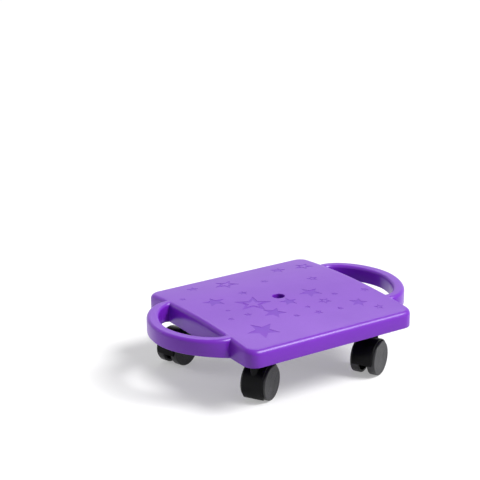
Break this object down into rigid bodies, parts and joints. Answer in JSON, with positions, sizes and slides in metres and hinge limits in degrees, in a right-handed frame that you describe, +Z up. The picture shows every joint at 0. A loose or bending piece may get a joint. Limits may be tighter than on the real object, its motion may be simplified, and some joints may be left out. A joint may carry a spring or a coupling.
{
  "type": "scooter board",
  "caption": "Low square plastic board to sit or lie on, with a loop handle at each end, a hole through its middle and a twin-wheel swivel caster under each corner.",
  "frame": {"origin": "on the floor, under the middle of the deck", "axes": "+X along the length, through both handles; +Y across; +Z up from the floor"},
  "size_m": [0.41, 0.278, 0.1054],
  "materials": {
    "deck_plastic": "satin moulded plastic, purple, with a fine grain and a soft sheen",
    "hood_plastic": "satin moulded nylon, black",
    "wheel_plastic": "matt moulded nylon, dark grey, with turned rings",
    "socket_plastic": "plain moulded nylon, black",
    "stem_steel": "bright turned steel",
    "spring_steel": "plain spring steel"
  },
  "bodies": {
    "board": {"deck": "deck_plastic", "front_left_socket": "socket_plastic", "front_right_socket": "socket_plastic", "back_left_socket": "socket_plastic", "back_right_socket": "socket_plastic"},
    "front_left_caster": {"front_left_stem": "stem_steel", "front_left_grip_ring": "spring_steel", "front_left_hood": "hood_plastic", "front_left_snap_ring": "spring_steel", "front_left_axle": "stem_steel"},
    "front_left_wheel_left": {"front_left_wheel_left": "wheel_plastic"},
    "front_left_wheel_right": {"front_left_wheel_right": "wheel_plastic"},
    "front_right_caster": {"front_right_stem": "stem_steel", "front_right_grip_ring": "spring_steel", "front_right_hood": "hood_plastic", "front_right_snap_ring": "spring_steel", "front_right_axle": "stem_steel"},
    "front_right_wheel_left": {"front_right_wheel_left": "wheel_plastic"},
    "front_right_wheel_right": {"front_right_wheel_right": "wheel_plastic"},
    "back_left_caster": {"back_left_stem": "stem_steel", "back_left_grip_ring": "spring_steel", "back_left_hood": "hood_plastic", "back_left_snap_ring": "spring_steel", "back_left_axle": "stem_steel"},
    "back_left_wheel_left": {"back_left_wheel_left": "wheel_plastic"},
    "back_left_wheel_right": {"back_left_wheel_right": "wheel_plastic"},
    "back_right_caster": {"back_right_stem": "stem_steel", "back_right_grip_ring": "spring_steel", "back_right_hood": "hood_plastic", "back_right_snap_ring": "spring_steel", "back_right_axle": "stem_steel"},
    "back_right_wheel_left": {"back_right_wheel_left": "wheel_plastic"},
    "back_right_wheel_right": {"back_right_wheel_right": "wheel_plastic"}
  },
  "joints": [
    {"name": "front_left_swivel", "type": "hinge", "parent": "board", "child": "front_left_caster", "pos_m": [-0.104, -0.093, 0.06], "axis": [0, 0, 1], "continuous": true},
    {"name": "front_left_roll_left", "type": "hinge", "parent": "front_left_caster", "child": "front_left_wheel_left", "pos_m": [-0.08928, -0.0845, 0.025], "axis": [-0.5, 0.866, 0], "continuous": true},
    {"name": "front_left_roll_right", "type": "hinge", "parent": "front_left_caster", "child": "front_left_wheel_right", "pos_m": [-0.08928, -0.0845, 0.025], "axis": [-0.5, 0.866, 0], "continuous": true},
    {"name": "front_right_swivel", "type": "hinge", "parent": "board", "child": "front_right_caster", "pos_m": [0.104, -0.093, 0.06], "axis": [0, 0, 1], "continuous": true},
    {"name": "front_right_roll_left", "type": "hinge", "parent": "front_right_caster", "child": "front_right_wheel_left", "pos_m": [0.08899, -0.10098, 0.025], "axis": [0.4695, -0.8829, 0], "continuous": true},
    {"name": "front_right_roll_right", "type": "hinge", "parent": "front_right_caster", "child": "front_right_wheel_right", "pos_m": [0.08899, -0.10098, 0.025], "axis": [0.4695, -0.8829, 0], "continuous": true},
    {"name": "back_left_swivel", "type": "hinge", "parent": "board", "child": "back_left_caster", "pos_m": [-0.104, 0.093, 0.06], "axis": [0, 0, 1], "continuous": true},
    {"name": "back_left_roll_left", "type": "hinge", "parent": "back_left_caster", "child": "back_left_wheel_left", "pos_m": [-0.12007, 0.08747, 0.025], "axis": [0.3256, -0.9455, 0], "continuous": true},
    {"name": "back_left_roll_right", "type": "hinge", "parent": "back_left_caster", "child": "back_left_wheel_right", "pos_m": [-0.12007, 0.08747, 0.025], "axis": [0.3256, -0.9455, 0], "continuous": true},
    {"name": "back_right_swivel", "type": "hinge", "parent": "board", "child": "back_right_caster", "pos_m": [0.104, 0.093, 0.06], "axis": [0, 0, 1], "continuous": true},
    {"name": "back_right_roll_left", "type": "hinge", "parent": "back_right_caster", "child": "back_right_wheel_left", "pos_m": [0.09042, 0.08277, 0.025], "axis": [0.6018, -0.7986, 0], "continuous": true},
    {"name": "back_right_roll_right", "type": "hinge", "parent": "back_right_caster", "child": "back_right_wheel_right", "pos_m": [0.09042, 0.08277, 0.025], "axis": [0.6018, -0.7986, 0], "continuous": true}
  ]
}
